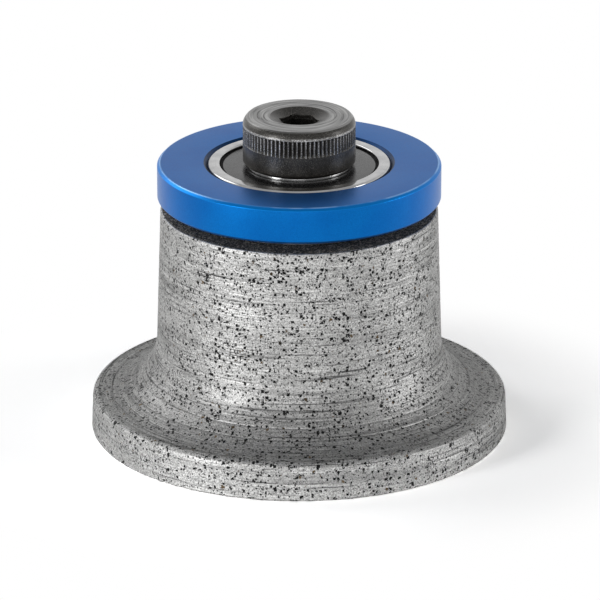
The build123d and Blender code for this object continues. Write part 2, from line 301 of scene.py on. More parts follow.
# The light that the room gives, and the lamps: place, width, height and power in watts
ROOM_LIGHT = 0.06
LAMP_AIM = (0, 0, 22)
LAMPS = {
    "key_left": ((-560, -430, 150), 200, 420, 2.55),
    "front": ((-40, -760, 90), 420, 240, 0.78),
    "top": ((-430, 250, 330), 300, 300, 0.6),
    "right": ((600, -60, 160), 160, 360, 0.95),
}

# The table, in metres across, and where its shadow fades into plain white, from the axis
TABLE_WHITE = 0.85
TABLE_SEEN_WHITE = 2.3
TABLE_GLOW = 0.26
TABLE_SIZE = 5.0
TABLE_DROP = 0.02
SHADOW_FROM = 34.0
SHADOW_TO = 58.0


# Shapes


def rounded(corners):
    """Points along a closed outline. A corner is (r, z) or (r, z, radius of its round)."""
    points = []
    count = len(corners)
    for index, corner in enumerate(corners):
        here = np.array(corner[:2], float)
        if len(corner) == 2:
            points.append(tuple(here))
            continue
        before = np.array(corners[index - 1][:2], float) - here
        after = np.array(corners[(index + 1) % count][:2], float) - here
        before /= np.linalg.norm(before)
        after /= np.linalg.norm(after)
        half = math.acos(np.clip(before @ after, -1, 1)) / 2
        reach = corner[2] / math.tan(half)
        middle = before + after
        centre = here + middle / np.linalg.norm(middle) * corner[2] / math.sin(half)
        start = here + before * reach - centre
        end = here + after * reach - centre
        swing = math.atan2(start[0] * end[1] - start[1] * end[0], start @ end)
        for step in range(ROUND_STEPS + 1):
            turn = swing * step / ROUND_STEPS
            x = start[0] * math.cos(turn) - start[1] * math.sin(turn)
            y = start[0] * math.sin(turn) + start[1] * math.cos(turn)
            points.append((centre[0] + x, centre[1] + y))
    return points


def divided(points, longest):
    """The same outline with no stretch longer than the given length."""
    result = []
    for start, end in zip(points, points[1:]):
        start, end = np.array(start), np.array(end)
        parts = max(1, math.ceil(np.linalg.norm(end - start) / longest))
        result += [tuple(start + (end - start) * part / parts) for part in range(parts)]
    result.append(tuple(points[-1]))
    return result


def arc(centre, radius, first, last, steps):
    """Points along an arc, its angles in radians from +r towards +z."""
    return [
        (centre[0] + radius * math.cos(first + (last - first) * step / steps),
         centre[1] + radius * math.sin(first + (last - first) * step / steps))
        for step in range(steps + 1)
    ]


def ring_angles(segments):
    return np.arange(segments) * 2 * math.pi / segments


def skinned(rings, segments, closed=True):
    """Points and faces over a stack of rings, each (r, z) as numbers or as one value for each angle.

    On an outside wall the rings go up. A ring of no radius is a pole.
    """
    angles = ring_angles(segments)
    cosines, sines = np.cos(angles), np.sin(angles)
    points, starts, faces = [], [], []
    total = 0
    for r, z in rings:
        pole = np.ndim(r) == 0 and r == 0
        starts.append((total, pole))
        if pole:
            points.append([[0.0, 0.0, float(z)]])
            total += 1
        else:
            ring = np.empty((segments, 3))
            ring[:, 0] = r * cosines
            ring[:, 1] = r * sines
            ring[:, 2] = z
            points.append(ring)
            total += segments
    here = np.arange(segments)
    after = (here + 1) % segments
    pairs = list(zip(starts, starts[1:]))
    if closed:
        pairs.append((starts[-1], starts[0]))
    for (low, low_pole), (high, high_pole) in pairs:
        if low_pole and high_pole:
            continue
        if low_pole:
            faces += np.stack([np.full(segments, low), high + after, high + here], 1).tolist()
        elif high_pole:
            faces += np.stack([low + here, low + after, np.full(segments, high)], 1).tolist()
        else:
            faces += np.stack([low + here, low + after, high + after, high + here], 1).tolist()
    return np.concatenate(points), faces


def mesh_piece(name, node, body, slot, points, faces, sharp=SHARP_ANGLE):
    """A piece that takes a CAD node's place, smooth but for edges sharper than the angle."""
    mesh = bpy.data.meshes.new(name)
    mesh.from_pydata((points * MM).tolist(), [], faces)
    mesh.materials.append(MATERIALS[slot])
    mesh.update()
    mesh.shade_smooth()
    mesh.set_sharp_from_angle(angle=math.radians(sharp))
    piece = bpy.data.objects.new(name, mesh)
    bpy.context.scene.collection.objects.link(piece)
    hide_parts(node)
    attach(piece, body)
    return piece


def lathe(name, node, body, slot, rings, segments):
    """A turned piece: closed rings round the axis."""
    return mesh_piece(name, node, body, slot, *skinned(rings, segments))


# Materials


class Nodes:
    """The nodes of a material or a world, and short ways to add to them."""

    def __init__(self, owner):
        owner.use_nodes = True
        self.owner = owner
        self.tree = owner.node_tree
        self.shader = self.tree.nodes.get("Principled BSDF")

    def add(self, kind, **settings):
        node = self.tree.nodes.new(kind)
        for key, value in settings.items():
            setattr(node, key, value)
        return node

    def join(self, source, target):
        self.tree.links.new(source, target)

    def put(self, target, value):
        """Feed a socket from another socket, or set its value."""
        if isinstance(value, bpy.types.NodeSocket):
            self.join(value, target)
        else:
            target.default_value = value

    def maths(self, operation, *values):
        node = self.add("ShaderNodeMath", operation=operation)
        for socket, value in zip(node.inputs, values):
            self.put(socket, value)
        return node.outputs[0]

    def times(self, first, *others):
        for other in others:
            first = self.maths("MULTIPLY", first, other)
        return first

    def plus(self, first, second):
        return self.maths("ADD", first, second)

    def minus(self, first, second):
        return self.maths("SUBTRACT", first, second)

    def most(self, first, second):
        return self.maths("MAXIMUM", first, second)

    def ramp(self, value, low, high, to_low=0.0, to_high=1.0, smooth=True):
        """From to_low, where the value is low, to to_high, where it is high, and level outside."""
        node = self.add("ShaderNodeMapRange")
        node.interpolation_type = "SMOOTHSTEP" if smooth else "LINEAR"
        for key, number in (
            ("From Min", low), ("From Max", high), ("To Min", to_low), ("To Max", to_high)
        ):
            self.put(node.inputs[key], number)
        self.join(value, node.inputs["Value"])
        return node.outputs["Result"]

    def over(self, length, low, high, to_low=0.0, to_high=1.0):
        """A ramp over a length, with its low and high in millimetres."""
        return self.ramp(length, low * MM, high * MM, to_low, to_high)

    def near(self, length, place, full, gone, peak=1.0):
        """A mask round a place: peak up to full away from it and 0 from gone, in millimetres."""
        distance = self.maths("ABSOLUTE", self.minus(length, place * MM))
        return self.over(distance, full, gone, peak, 0.0)

    def mix(self, factor, first, second):
        node = self.add("ShaderNodeMix", data_type="RGBA")
        self.put(node.inputs["Factor"], factor)
        for key, value in (("A", first), ("B", second)):
            socket = [s for s in node.inputs if s.name == key and s.type == "RGBA"][0]
            self.put(socket, (*value, 1.0) if isinstance(value, tuple) else value)
        return [s for s in node.outputs if s.type == "RGBA"][0]

    def place(self):
        """The point on the piece, in metres in the object's own frame."""
        return self.add("ShaderNodeTexCoord").outputs["Object"]

    def split(self, vector):
        node = self.add("ShaderNodeSeparateXYZ")
        self.join(vector, node.inputs[0])
        return node.outputs

    def channels(self, colour):
        node = self.add("ShaderNodeSeparateColor")
        self.join(colour, node.inputs[0])
        return node.outputs

    def round_axis(self, place):
        """The point's distance from the axis and its height."""
        x, y, z = self.split(place)
        return self.from_axis(x, y), z

    def from_axis(self, x, y):
        return self.maths("SQRT", self.plus(self.times(x, x), self.times(y, y)))

    def noise(self, vector, scale, detail, roughness=0.5, w=None):
        node = self.add("ShaderNodeTexNoise", noise_dimensions="3D" if w is None else "4D")
        self.put(node.inputs["Vector"], vector)
        self.put(node.inputs["Scale"], scale)
        self.put(node.inputs["Detail"], detail)
        self.put(node.inputs["Roughness"], roughness)
        if w is not None:
            self.put(node.inputs["W"], w)
        return node.outputs["Fac"]

    def lines(self, across, along, detail, roughness):
        """Noise drawn out into marks round the axis, across of them a metre: the lower along, the longer."""
        x, y, z = self.split(self.place())
        radius = self.from_axis(x, y)
        vector = self.add("ShaderNodeCombineXYZ")
        self.put(vector.inputs[0], self.times(radius, across))
        self.put(vector.inputs[1], self.times(z, across))
        self.put(vector.inputs[2], self.times(self.maths("DIVIDE", x, radius), along))
        w = self.times(self.maths("DIVIDE", y, radius), along)
        return self.noise(vector.outputs[0], 1.0, detail, roughness, w)

    def cells(self, vector, size):
        """Random cells of the given size in millimetres."""
        node = self.add("ShaderNodeTexVoronoi")
        self.put(node.inputs["Vector"], vector)
        self.put(node.inputs["Scale"], 1 / (size * MM))
        return node

    def wobbled(self, vector, scale, reach):
        """The same coordinates, shaken a little so that shapes in them get uneven edges."""
        noise = self.add("ShaderNodeTexNoise")
        self.put(noise.inputs["Vector"], vector)
        self.put(noise.inputs["Scale"], scale)
        shift = self.add("ShaderNodeVectorMath", operation="MULTIPLY_ADD")
        self.join(noise.outputs["Color"], shift.inputs[0])
        shift.inputs[1].default_value = (reach * MM, reach * MM, reach * MM)
        self.join(vector, shift.inputs[2])
        return shift.outputs[0]

    def bump(self, height, distance, strength):
        """A bump of the given distance in millimetres."""
        node = self.add("ShaderNodeBump")
        self.put(node.inputs["Strength"], strength)
        self.put(node.inputs["Distance"], distance * MM)
        self.join(height, node.inputs["Height"])
        return node.outputs["Normal"]

    def seen_directly(self):
        """1 for rays from the camera, or mirrored or let through on their way to it."""
        path = self.add("ShaderNodeLightPath")
        mirrored = self.most(path.outputs["Is Glossy Ray"], path.outputs["Is Transmission Ray"])
        return self.most(path.outputs["Is Camera Ray"], mirrored)

    def shade(self, **values):
        for key, value in values.items():
            self.put(self.shader.inputs[key.replace("_", " ")], value)


def new_finish(name):
    return Nodes(bpy.data.materials.new(name))


def crystals(nodes, place, size):
    """A random value from 0 to 1 for each crystal, of the given size in millimetres."""
    return nodes.channels(nodes.cells(place, size).outputs["Color"])[0]


def grit(nodes, place, spacing, smallest, largest, density):
    """A mask of grains at random depths, 1 in a grain, and a random value for each."""
    cells = nodes.cells(place, spacing)
    cells.distance = "CHEBYCHEV"
    chance = nodes.channels(cells.outputs["Color"])
    size = nodes.ramp(chance[0], 0.0, 1.0, smallest / spacing, largest / spacing, smooth=False)
    edge = nodes.minus(nodes.times(size, density), cells.outputs["Distance"])
    return nodes.ramp(edge, *GRAIN_EDGE), chance[1]


def grains_and_pits(nodes, place):
    """A mask of the bond's grains and pits, and a random value for each coarse grain."""
    moved = nodes.wobbled(nodes.wobbled(place, 2600.0, 0.42), 9000.0, 0.16)
    crowding = nodes.ramp(nodes.noise(place, 500.0, 3.0), 0.36, 0.62, 0.75, 1.1)
    coarse, chance = grit(nodes, moved, *COARSE_GRIT, crowding)
    fine, _ = grit(nodes, moved, *FINE_GRIT, crowding)
    pits = nodes.ramp(nodes.noise(place, 3600.0, 2.0, 0.6), 0.67, 0.71)
    return nodes.most(nodes.most(coarse, fine), pits), chance


def painted_foot_shade(nodes, place):
    """A mask of painted shade: on the flange's upper side, and fading up the cove."""
    _, _, z = nodes.split(place)
    above = nodes.over(z, RIM_HEIGHT - 0.3, RIM_HEIGHT + 0.25)
    foot = nodes.over(z, RIM_HEIGHT + 0.6, RIM_HEIGHT + FOOT_SHADE_REACH, FOOT_SHADE_SHARE, 0.0)
    return nodes.times(above, foot)


def bond_tone(nodes, place, crystal, dust, lines):
    """The colour of the bond between its grains: crystals under dust, tool lines and painted shade at the
    foot.
    """
    cloud = nodes.noise(place, 330.0, 4.0)
    bands = nodes.lines(900.0, 1.2, 2.0, 0.5)
    where = nodes.ramp(nodes.noise(place, 130.0, 2.0), 0.42, 0.6)
    shown = nodes.ramp(where, 0.0, 1.0, 0.6, 1.0)
    dark = nodes.times(nodes.ramp(lines, 0.36, 0.43, 0.9, 0.0), shown)
    light = nodes.times(nodes.ramp(lines, 0.57, 0.66, 0.0, 0.55), shown)
    tone = nodes.mix(crystal, CRYSTAL_DULL, CRYSTAL_BRIGHT)
    tone = nodes.mix(nodes.ramp(dust, 0.3, 0.7, 0.0, 0.35), tone, BOND_DUST)
    tone = nodes.mix(nodes.ramp(cloud, 0.3, 0.7, 0.0, 0.3), tone, BOND_CLOUD)
    tone = nodes.mix(nodes.ramp(bands, 0.3, 0.5, 0.45, 0.0), tone, BOND_BAND)
    tone = nodes.mix(dark, tone, BOND_LINE_DARK)
    tone = nodes.mix(light, tone, BOND_LINE_LIGHT)
    # Painted shade, strongest on the flange and fading up the cove
    return nodes.mix(painted_foot_shade(nodes, place), tone, FOOT_SHADE_COLOUR)


def diamond_bond():
    """Turned sintered metal: bright and dull crystals, dark diamond grains and the tool's lines."""
    nodes = new_finish("diamond_bond")
    place = nodes.place()
    grains, chance = grains_and_pits(nodes, place)
    crystal = crystals(nodes, place, BOND_CRYSTAL)
    dust = nodes.noise(place, 9000.0, 1.0)
    lines = nodes.lines(3000.0, 1.4, 3.0, 0.7)
    tone = bond_tone(nodes, place, crystal, dust, lines)
    grain_tone = nodes.mix(nodes.ramp(chance, 0.96, 0.98), GRAIN_BLACK, GRAIN_BROWN)
    height = nodes.plus(nodes.times(lines, 1.6), nodes.times(dust, 0.6))
    height = nodes.plus(height, nodes.times(crystal, 0.12))
    height = nodes.minus(height, nodes.times(grains, 0.8))
    nodes.shade(
        Base_Color=nodes.mix(grains, tone, grain_tone),
        Metallic=nodes.minus(BOND_METAL, nodes.times(grains, BOND_METAL)),
        Roughness=nodes.ramp(crystal, 0.0, 1.0, 0.36, 0.50),
        Specular_IOR_Level=0.25,
        Specular_Tint=(0.45, 0.45, 0.45, 1.0),
        Normal=nodes.bump(height, BOND_BUMP, 0.9),
    )
    return nodes.owner


def bond_end():
    """The wheel's end under the guide ring: near black, with dusty grains."""
    nodes = new_finish("bond_end")
    place = nodes.place()
    dust = nodes.noise(place, 4200.0, 2.0, 0.65)
    patch = nodes.noise(place, 700.0, 3.0)
    colour = nodes.mix(nodes.ramp(dust, 0.46, 0.66), END_BLACK, END_DUST)
    colour = nodes.mix(nodes.ramp(patch, 0.35, 0.7, 0.0, 0.5), colour, END_PATCH)
    nodes.shade(
        Base_Color=colour,
        Metallic=0.0,
        Roughness=nodes.ramp(dust, 0.3, 0.7, 0.6, 0.85),
        Normal=nodes.bump(dust, 0.06, 0.9),
    )
    return nodes.owner


def ring_painted_light(nodes, place, colour, cloud):
    """The blue ring's colour with painted shade in its recess, a painted highlight on its chamfer and a
    painted highlight along the edge of its flat.
    """
    radius, z = nodes.round_axis(place)
    recess = BEARING_RADIUS + GUIDE_MOUTH_WIDTH
    chamfer = GUIDE_RADIUS + GUIDE_HIGH.z - GUIDE_CHAMFER
    # Painted shade in the recess round the bearing
    shade = nodes.over(radius, recess - 0.03, recess + 0.08, 0.85, 0.0)
    # Painted highlight on the upper chamfer
    on_chamfer = nodes.over(nodes.plus(radius, z), chamfer - 0.10, chamfer - 0.02)
    # Painted highlight along the outer edge of the flat
    flat_edge_highlight = nodes.near(radius, GUIDE_RADIUS - GUIDE_CHAMFER, 0.05, 0.15)
    on_top = nodes.over(z, GUIDE_HIGH.z - 0.3, GUIDE_HIGH.z - 0.1)
    flat_edge_highlight = nodes.times(flat_edge_highlight, on_top, nodes.ramp(cloud, 0.4, 0.6, 0.15, 0.7))
    colour = nodes.mix(shade, colour, BLUE_RECESS_SHADE)
    colour = nodes.mix(nodes.times(on_chamfer, 0.7), colour, BLUE_CHAMFER_HIGHLIGHT)
    return nodes.mix(flat_edge_highlight, colour, BLUE_EDGE_HIGHLIGHT)


def blue_anodised():
    """Turned aluminium with a clear blue oxide skin, its marks almost gone in the etch."""
    nodes = new_finish("blue_anodised")
    place = nodes.place()
    lines = nodes.lines(9000.0, 2.5, 3.0, 0.6)
    cloud = nodes.noise(place, 180.0, 3.0)
    etch = nodes.noise(place, 8200.0, 2.0)
    crystal = crystals(nodes, place, ETCH_CRYSTAL)
    colour = nodes.mix(nodes.ramp(etch, 0.3, 0.7), BLUE_LOW, BLUE_HIGH)
    colour = nodes.mix(nodes.times(crystal, 0.35), colour, BLUE_CRYSTAL)
    colour = nodes.mix(nodes.ramp(cloud, 0.35, 0.7, 0.0, 0.25), colour, BLUE_CLOUD)
    nodes.shade(
        Base_Color=ring_painted_light(nodes, place, colour, cloud),
        Metallic=0.85,
        Roughness=nodes.ramp(etch, 0.3, 0.7, 0.32, 0.40),
        Specular_IOR_Level=0.2,
        Normal=nodes.bump(nodes.plus(nodes.times(lines, 0.5), etch), 0.004, 0.8),
    )
    return nodes.owner


def bearing_steel():
    """Ground bearing steel with fine marks round the axis. The inner ring is rougher, with painted shade."""
    nodes = new_finish("bearing_steel")
    place = nodes.place()
    lines = nodes.lines(14000.0, 2.0, 2.0, 0.6)
    cloud = nodes.noise(place, 500.0, 3.0)
    radius, _ = nodes.round_axis(place)
    # Painted shade on the inner ring, which is also rougher
    inner_shade_and_dull = nodes.over(radius, INNER_LAND_RADIUS + 0.1, INNER_LAND_RADIUS + 0.3, 1.0, 0.0)
    colour = nodes.mix(nodes.ramp(cloud, 0.3, 0.7), GROUND_DARK, GROUND_LIGHT)
    colour = nodes.mix(nodes.ramp(lines, 0.3, 0.5, 0.3, 0.0), colour, GROUND_LINE)
    colour = nodes.mix(nodes.times(inner_shade_and_dull, 0.3), colour, GROUND_INNER_SHADE)
    nodes.shade(
        Base_Color=colour,
        Metallic=1.0,
        Roughness=nodes.plus(nodes.ramp(lines, 0.3, 0.7, 0.08, 0.14), nodes.times(inner_shade_and_dull, 0.12)),
        Normal=nodes.bump(lines, 0.0005, 0.6),
    )
    return nodes.owner


def seal_rubber():
    """Moulded black rubber with a smooth satin skin, rougher and with painted shade in the groove at its
    border.
    """
    nodes = new_finish("seal_rubber")
    place = nodes.place()
    skin = nodes.noise(place, 4200.0, 3.0, 0.6)
    cloud = nodes.noise(place, 420.0, 3.0)
    radius, _ = nodes.round_axis(place)
    border = SEAL_SEAT_RADIUS - SEAL_RING_WIDTH
    # Painted shade in the groove at the border, which is also rougher
    groove_shade_and_dull = nodes.over(radius, border - 0.04, border + 0.04)
    colour = nodes.mix(nodes.ramp(cloud, 0.3, 0.7), RUBBER_DARK, RUBBER_LIGHT)
    nodes.shade(
        Base_Color=nodes.mix(groove_shade_and_dull, colour, RUBBER_GROOVE_SHADE),
        Metallic=0.0,
        Roughness=nodes.plus(nodes.ramp(skin, 0.3, 0.7, 0.20, 0.30), nodes.times(groove_shade_and_dull, 0.6)),
        Specular_IOR_Level=0.75,
        Normal=nodes.bump(skin, 0.002, 0.5),
    )
    return nodes.owner


def head_flat(nodes, radius, z):
    """A mask of the flat on top of the head, outside the socket's mouth."""
    top = nodes.over(z, HEAD_TOP - 0.25, HEAD_TOP - 0.02)
    outside = nodes.over(radius, SOCKET_MOUTH_RADIUS - 0.1, SOCKET_MOUTH_RADIUS + 0.25)
    return nodes.times(top, outside)


def screw_edge_highlights(nodes, radius, z, flat, fine):
    """A mask of painted highlights along the edges: round the flat and above the knurl."""
    at_flat = nodes.times(nodes.near(radius, HEAD_RADIUS - HEAD_SHOULDER_WIDTH, 0.03, 0.16), flat)
    at_knurl = nodes.near(z, KNURL_TOP, 0.02, 0.14, 0.6)
    return nodes.times(nodes.most(at_flat, at_knurl), nodes.ramp(fine, 0.4, 0.6, 0.1, 0.8))


def knurl_land_highlights(nodes, place, radius, z, fine):
    """A mask of painted highlights on the knurl's lands, stronger in some places round the head."""
    foot = KNURL_TOP - KNURL_LENGTH
    land = nodes.over(radius, HEAD_RADIUS - 0.05, HEAD_RADIUS - 0.01)
    level = nodes.over(z, foot, foot + 0.1)
    patch = nodes.ramp(nodes.noise(place, 210.0, 1.0), 0.42, 0.60, 0.35, 1.0)
    return nodes.times(land, level, nodes.ramp(fine, 0.42, 0.6, 0.1, 0.9), patch)


def black_screw():
    """Steel with a thin black oxide and turned marks on its flat, with painted sheen on the flat and painted
    highlights along its edges and on the knurl's lands.
    """
    nodes = new_finish("black_screw")
    place = nodes.place()
    radius, z = nodes.round_axis(place)
    fine = nodes.noise(place, 7000.0, 3.0, 0.6)
    cloud = nodes.noise(place, 600.0, 4.0, 0.6)
    lines = nodes.lines(3300.0, 0.9, 2.0, 0.6)
    flat = head_flat(nodes, radius, z)
    dark = nodes.times(nodes.ramp(lines, 0.38, 0.48, 0.9, 0.0), flat)
    light = nodes.times(nodes.ramp(lines, 0.53, 0.62, 0.0, 0.9), flat)
    colour = nodes.mix(nodes.ramp(cloud, 0.3, 0.7), OXIDE_DARK, OXIDE_LIGHT)
    colour = nodes.mix(nodes.ramp(fine, 0.50, 0.64, 0.0, 0.6), colour, OXIDE_SPECK)
    # Painted sheen on the flat
    colour = nodes.mix(nodes.times(flat, 0.8), colour, OXIDE_FLAT_SHEEN)
    colour = nodes.mix(dark, colour, OXIDE_LINE_DARK)
    colour = nodes.mix(light, colour, OXIDE_LINE_LIGHT)
    # Painted highlights along the edges round the flat and above the knurl
    colour = nodes.mix(screw_edge_highlights(nodes, radius, z, flat, fine), colour, OXIDE_EDGE_HIGHLIGHT)
    # Painted highlights on the knurl's lands
    colour = nodes.mix(knurl_land_highlights(nodes, place, radius, z, fine), colour, OXIDE_LAND_HIGHLIGHT)
    height = nodes.plus(nodes.times(fine, 0.6), nodes.times(lines, flat, 1.4))
    nodes.shade(
        Base_Color=colour,
        Metallic=0.6,
        Roughness=nodes.ramp(fine, 0.3, 0.7, 0.30, 0.44),
        Coat_Weight=0.30,
        Coat_Roughness=0.30,
        Normal=nodes.bump(height, 0.02, 0.9),
    )
    return nodes.owner


def turned_steel(name, colours, rough_low, rough_high):
    """Bright steel from a lathe or a press, in a light and a dark colour."""
    nodes = new_finish(name)
    light, dark = colours
    lines = nodes.lines(3800.0, 1.5, 3.0, 0.6)
    cloud = nodes.noise(nodes.place(), 300.0, 4.0)
    colour = nodes.mix(nodes.ramp(cloud, 0.3, 0.7), dark, light)
    colour = nodes.mix(nodes.ramp(lines, 0.25, 0.5, 0.4, 0.0), colour, tuple(0.6 * part for part in dark))
    nodes.shade(
        Base_Color=colour,
        Metallic=1.0,
        Roughness=nodes.ramp(lines, 0.3, 0.7, rough_low, rough_high),
        Normal=nodes.bump(lines, 0.012, 0.8),
    )
    return nodes.owner


# The wheel


def cove_centre():
    centre_z = RIM_HEIGHT + COVE_RADIUS
    foot_radius = NECK_TOP_RADIUS + (WHEEL_TOP - centre_z) * math.tan(NECK_DRAFT)
    return foot_radius + COVE_RADIUS / math.cos(NECK_DRAFT), centre_z


def core_outline():
    """The joint of bond and core, from the underside up to the wheel's top."""
    centre = cove_centre()
    radius = COVE_RADIUS + BOND_DEPTH
    flange_angle = math.acos((centre[0] - CORE_FLANGE_RADIUS) / radius)
    top_radius = NECK_TOP_RADIUS - BOND_DEPTH / math.cos(NECK_DRAFT)
    curve = arc(centre, radius, math.pi + flange_angle, math.pi + NECK_DRAFT, CORE_STEPS)
    return [(CORE_FLANGE_RADIUS, 0.0), *curve, (top_radius, WHEEL_TOP)]


def wheel_skin():
    """The outside of the bond, from the foot of the rim up to the edge of its top."""
    centre = cove_centre()
    rim_slope = math.tan(RIM_DRAFT)
    rim = rounded(
        [
            (WHEEL_RADIUS - FOOT_CHAMFER, 0.0),
            (WHEEL_RADIUS - RELIEF_OFFSET - FOOT_CHAMFER * rim_slope, FOOT_CHAMFER),
            (WHEEL_RADIUS - RIM_HEIGHT * rim_slope, RIM_HEIGHT, RIM_ROUND),
            (centre[0], RIM_HEIGHT),
        ]
    )
    cove = arc(centre, COVE_RADIUS, 1.5 * math.pi, math.pi + NECK_DRAFT, COVE_STEPS)
    neck = rounded([cove[-2], (NECK_TOP_RADIUS, WHEEL_TOP, NECK_ROUND), core_outline()[-1]])[1:-1]
    return np.array(divided([*rim, *cove[1:], *neck], BODY_STEP))


def turning_marks(rng, distance, angles, count, widths, depths, reaches):
    """Marks of one kind: each a narrow line round the wheel that fades at both ends."""
    relief = np.zeros((len(distance), len(angles)))
    for _ in range(count):
        place = rng.uniform(distance[0], distance[-1])
        width = rng.uniform(*widths)
        depth = rng.uniform(*depths)
        middle = rng.uniform(0, 2 * math.pi)
        reach = rng.uniform(*reaches)
        climb = rng.uniform(-MARK_CLIMB, MARK_CLIMB)
        offset = (angles - middle + math.pi) % (2 * math.pi) - math.pi
        fade = np.clip((reach - np.abs(offset)) / (MARK_FADE_SHARE * reach), 0, 1)
        fade = fade * fade * (3 - 2 * fade)
        across = (distance[:, None] - place - climb * offset[None, :]) / width
        relief += depth * np.exp(-across * across) * fade[None, :]
    return relief


def marked_rings(skin):
    """The skin's points as rings, set in a little and cut by the marks of turning."""
    steps = np.linalg.norm(np.diff(skin, axis=0), axis=1)
    distance = np.concatenate([[0], np.cumsum(steps)])
    slope = np.gradient(skin, distance, axis=0)
    normal = np.stack([slope[:, 1], -slope[:, 0]], 1)
    normal /= np.linalg.norm(normal, axis=1)[:, None]
    rng = np.random.default_rng(SEED)
    angles = ring_angles(BODY_SEGMENTS)
    relief = sum(turning_marks(rng, distance, angles, *kind) for kind in TURNING_MARKS)
    relief = np.minimum(relief, 0.0) - RELIEF_OFFSET
    fade = np.clip(np.minimum(distance, distance[-1] - distance) / RELIEF_FADE, 0, 1)
    relief *= fade[:, None]
    return [(r + cut * out, z + cut * up) for (r, z), cut, (out, up) in zip(skin, relief, normal)]


def abrasive_body():
    """Rim, cove and neck of the wheel, with the marks of turning in its surface."""
    skin = wheel_skin()
    rings = marked_rings(skin)
    core = core_outline()
    end_rings = [(r, WHEEL_TOP) for r in np.linspace(skin[-1, 0], core[-1][0], END_STEPS + 1)[1:]]
    underside = ((CORE_FLANGE_RADIUS + WHEEL_RADIUS) / 2, 0.0)
    all_rings = [*rings, *end_rings, *core[-2::-1], underside]
    wheel = lathe(
        "abrasive_body_turned", "abrasive_body", "wheel", "diamond_bond", all_rings, BODY_SEGMENTS
    )
    wheel.data.materials.append(MATERIALS["bond_end"])
    first = (len(rings) - 1) * BODY_SEGMENTS
    last = first + len(end_rings) * BODY_SEGMENTS
    for face in wheel.data.polygons[first:last]:
        face.material_index = 1


def thread_reach(angles, z, pitch):
    """How far out an ISO thread's wall is at each angle at a level, from 0 to 1."""
    phase = (z / pitch - angles / (2 * math.pi)) % 1.0
    inside = 0.5 - np.abs(phase - 0.5)
    return np.clip((inside - THREAD_FLAT / 2) / (0.5 - THREAD_FLAT), 0, 1)


def bearing_seat():
    """The core's top from outside in: pocket, boss and the hole for the screw's shoulder."""
    return rounded(
        [
            core_outline()[-1],
            (POCKET_RADIUS + POCKET_CHAMFER, WHEEL_TOP),
            (POCKET_RADIUS, WHEEL_TOP - POCKET_CHAMFER),
            (POCKET_RADIUS, POCKET_FLOOR, POCKET_ROUND),
            (BOSS_RADIUS, POCKET_FLOOR, POCKET_ROUND),
            (BOSS_RADIUS, BEARING_BOTTOM),
            (SHOULDER_RADIUS + SHOULDER_CLEARANCE, BEARING_BOTTOM),
            (SHOULDER_RADIUS + SHOULDER_CLEARANCE, SHOULDER_BOTTOM - SHOULDER_END_GAP),
            (SCREW_THREAD_RADIUS + SCREW_THREAD_CLEARANCE, SHOULDER_BOTTOM - SHOULDER_END_GAP),
        ]
    )[1:]


def screw_hole(angles):
    """The tapped hole for the screw, from its top down."""
    root = SCREW_RADIUS + SCREW_THREAD_PLAY
    depth = BOLT_THREAD_SHARE * SCREW_PITCH
    top = SHOULDER_BOTTOM - SHOULDER_END_GAP - THREAD_STEP
    levels = np.arange(top, SPINDLE_HOLE_END + THREAD_STEP / 2, -THREAD_STEP)
    rings = [(root - depth * (1 - thread_reach(angles, z, SCREW_PITCH)), z) for z in levels]
    return [*rings, (root, SPINDLE_HOLE_END)]


def spindle_hole(angles):
    """The spindle's hole from its run-out groove down to its chamfered mouth."""
    depth = NUT_THREAD_SHARE * SPINDLE_PITCH
    rings = [(SPINDLE_RELIEF_RADIUS, SPINDLE_HOLE_END), (SPINDLE_RELIEF_RADIUS, SPINDLE_THREAD_DEPTH)]
    for z in np.arange(SPINDLE_THREAD_DEPTH - THREAD_STEP / 4, THREAD_STEP / 4, -THREAD_STEP):
        wall = SPINDLE_HOLE_RADIUS + depth * thread_reach(angles, z, SPINDLE_PITCH)
        mouth = SPINDLE_HOLE_RADIUS + SPINDLE_MOUTH_CHAMFER - z
        rings.append((np.maximum(wall, mouth), z))
    return rings


def core_underside():
    """The core's underside from the hole out: seat face, relief and outer land."""
    corners = [
        (SPINDLE_HOLE_RADIUS + SPINDLE_MOUTH_CHAMFER, 0.0),
        (SEAT_FACE_RADIUS, 0.0, SEAT_EDGE_ROUND),
        (SEAT_FACE_RADIUS, UNDERSIDE_RELIEF, RELIEF_ROUND),
        (RELIEF_OUTER_RADIUS, UNDERSIDE_RELIEF, RELIEF_ROUND),
        (RELIEF_OUTER_RADIUS, 0.0, SEAT_EDGE_ROUND),
        (CORE_FLANGE_RADIUS, 0.0),
    ]
    return divided(rounded(corners), UNDERSIDE_STEP)[:-1]


def hub_core():
    """The steel core, with its two threads cut as helices."""
    angles = ring_angles(CORE_SEGMENTS)
    outside = [*core_outline(), *bearing_seat()]
    rings = [*outside, *screw_hole(angles), *spindle_hole(angles), *core_underside()]
    lathe("hub_core_threaded", "hub_core", "wheel", "hub_steel", rings, CORE_SEGMENTS)


# The shoulder screw


def socket_radius(angles):
    """How far the hexagon's wall stands from the axis at each angle."""
    sector = math.pi / 3
    turned = (angles - SOCKET_TURN + sector / 2) % sector - sector / 2
    return SOCKET_WIDTH / 2 / np.cos(np.abs(turned) - sector / 2)


def knurled(angles, z):
    """How deep the knurl is at each angle at a level: V grooves that rise to the surface at both ends."""
    turn = 2 * math.pi / KNURL_TEETH
    pitch = turn * HEAD_RADIUS
    from_groove = np.abs((angles / turn + 0.5) % 1.0 - 0.5) * pitch
    valley = np.clip(1 - from_groove / ((pitch - KNURL_LAND) / 2), 0, 1)
    from_end = min(KNURL_TOP - z, z - (KNURL_TOP - KNURL_LENGTH))
    return KNURL_DEPTH * np.minimum(valley, np.clip(from_end / KNURL_RUN_OUT, 0, 1))


